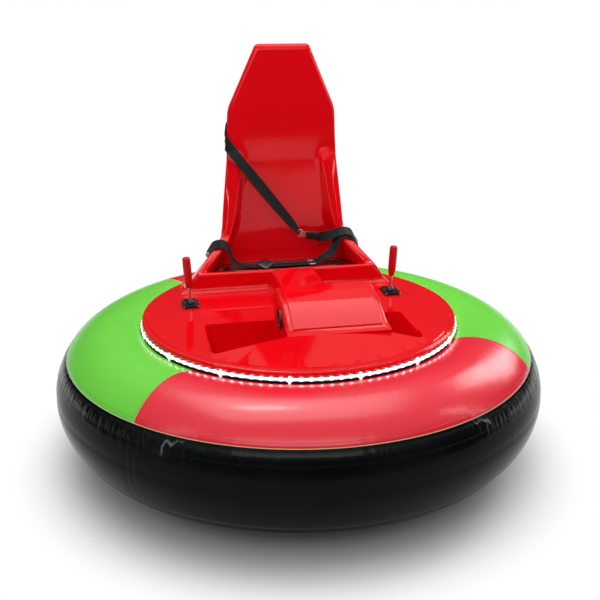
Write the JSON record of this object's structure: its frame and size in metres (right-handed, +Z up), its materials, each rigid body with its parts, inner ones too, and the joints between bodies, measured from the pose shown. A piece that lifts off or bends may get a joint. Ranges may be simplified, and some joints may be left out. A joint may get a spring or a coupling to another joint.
{
  "type": "inflatable ring bumper car",
  "caption": "Electric bumper car with an inflated ring, moulded seat and foot wells, hand levers, rim light, drive wheels and swivel casters.",
  "frame": {"origin": "on the floor, under the centre of the inflated ring", "axes": "+Z up, front of the car toward -Y, +X toward the driver's left hand, which is the picture's right"},
  "size_m": [1.9, 1.8996, 1.552],
  "materials": {
    "red_moulding": "gloss",
    "red_vinyl": "gloss",
    "green_vinyl": "gloss",
    "black_vinyl": "gloss",
    "seat_vinyl": "satin",
    "black_plastic": "satin",
    "white_plastic": "satin",
    "red_grip": "satin",
    "light_tube": "gloss",
    "bright_steel": "brushed",
    "black_steel": "satin",
    "grey_motor": "satin",
    "webbing": "matte",
    "tyre_rubber": "matte",
    "caster_rubber": "matte"
  },
  "bodies": {
    "base": {"tube_lower": "black_vinyl", "tube_panel_front": "red_vinyl", "tube_panel_rear": "red_vinyl", "tube_panel_left": "green_vinyl", "tube_panel_right": "green_vinyl", "body_shell": "red_moulding", "console_cover": "red_moulding", "console_port": "black_plastic", "seat_shell": "red_moulding", "seat_cushion": "seat_vinyl", "rim_light": "light_tube", "light_clips": "white_plastic", "edge_strip": "black_plastic", "chassis_frame": "black_steel", "tube_cradle": "black_steel", "battery_block": "black_plastic", "lap_belt": "webbing", "belt_wrap_left": "webbing", "belt_wrap_right": "webbing", "shoulder_belt": "webbing", "buckle_strap": "webbing", "belt_tongue": "bright_steel", "belt_buckle": "black_plastic", "lap_adjuster": "black_plastic", "lap_slide": "bright_steel", "lever_base_left": "black_plastic", "drive_bracket_left": "black_steel", "gear_motor_left": "grey_motor", "lever_base_right": "black_plastic", "drive_bracket_right": "black_steel", "gear_motor_right": "grey_motor", "caster_plate_front": "bright_steel", "caster_plate_rear": "bright_steel"},
    "lever_left": {"lever_dome_left": "black_plastic", "lever_rod_left": "bright_steel", "lever_grip_left": "red_grip"},
    "wheel_left": {"drive_axle_left": "bright_steel", "wheel_rim_left": "grey_motor", "wheel_tyre_left": "tyre_rubber"},
    "lever_right": {"lever_dome_right": "black_plastic", "lever_rod_right": "bright_steel", "lever_grip_right": "red_grip"},
    "wheel_right": {"drive_axle_right": "bright_steel", "wheel_rim_right": "grey_motor", "wheel_tyre_right": "tyre_rubber"},
    "caster_front": {"caster_fork_front": "bright_steel"},
    "caster_front_roller": {"caster_wheel_front": "caster_rubber"},
    "caster_rear": {"caster_fork_rear": "bright_steel"},
    "caster_rear_roller": {"caster_wheel_rear": "caster_rubber"}
  },
  "joints": [
    {"name": "lever_left_rock", "type": "hinge", "parent": "base", "child": "lever_left", "pos_m": [-0.415, 0.13, 0.575], "axis": [1, 0, 0], "range_deg": [-18, 18], "stiffness_Nm_per_rad": 2},
    {"name": "wheel_left_roll", "type": "hinge", "parent": "base", "child": "wheel_left", "pos_m": [-0.34, 0, 0.105], "axis": [1, 0, 0], "continuous": true},
    {"name": "lever_right_rock", "type": "hinge", "parent": "base", "child": "lever_right", "pos_m": [0.415, 0.13, 0.575], "axis": [1, 0, 0], "range_deg": [-18, 18], "stiffness_Nm_per_rad": 2},
    {"name": "wheel_right_roll", "type": "hinge", "parent": "base", "child": "wheel_right", "pos_m": [0.34, 0, 0.105], "axis": [1, 0, 0], "continuous": true},
    {"name": "caster_front_swivel", "type": "hinge", "parent": "base", "child": "caster_front", "pos_m": [0, -0.33, 0.15], "axis": [0, 0, 1], "continuous": true},
    {"name": "caster_front_roll", "type": "hinge", "parent": "caster_front", "child": "caster_front_roller", "pos_m": [0, -0.295, 0.05], "axis": [1, 0, 0], "continuous": true},
    {"name": "caster_rear_swivel", "type": "hinge", "parent": "base", "child": "caster_rear", "pos_m": [0, 0.33, 0.15], "axis": [0, 0, 1], "continuous": true},
    {"name": "caster_rear_roll", "type": "hinge", "parent": "caster_rear", "child": "caster_rear_roller", "pos_m": [0, 0.365, 0.05], "axis": [1, 0, 0], "continuous": true}
  ]
}
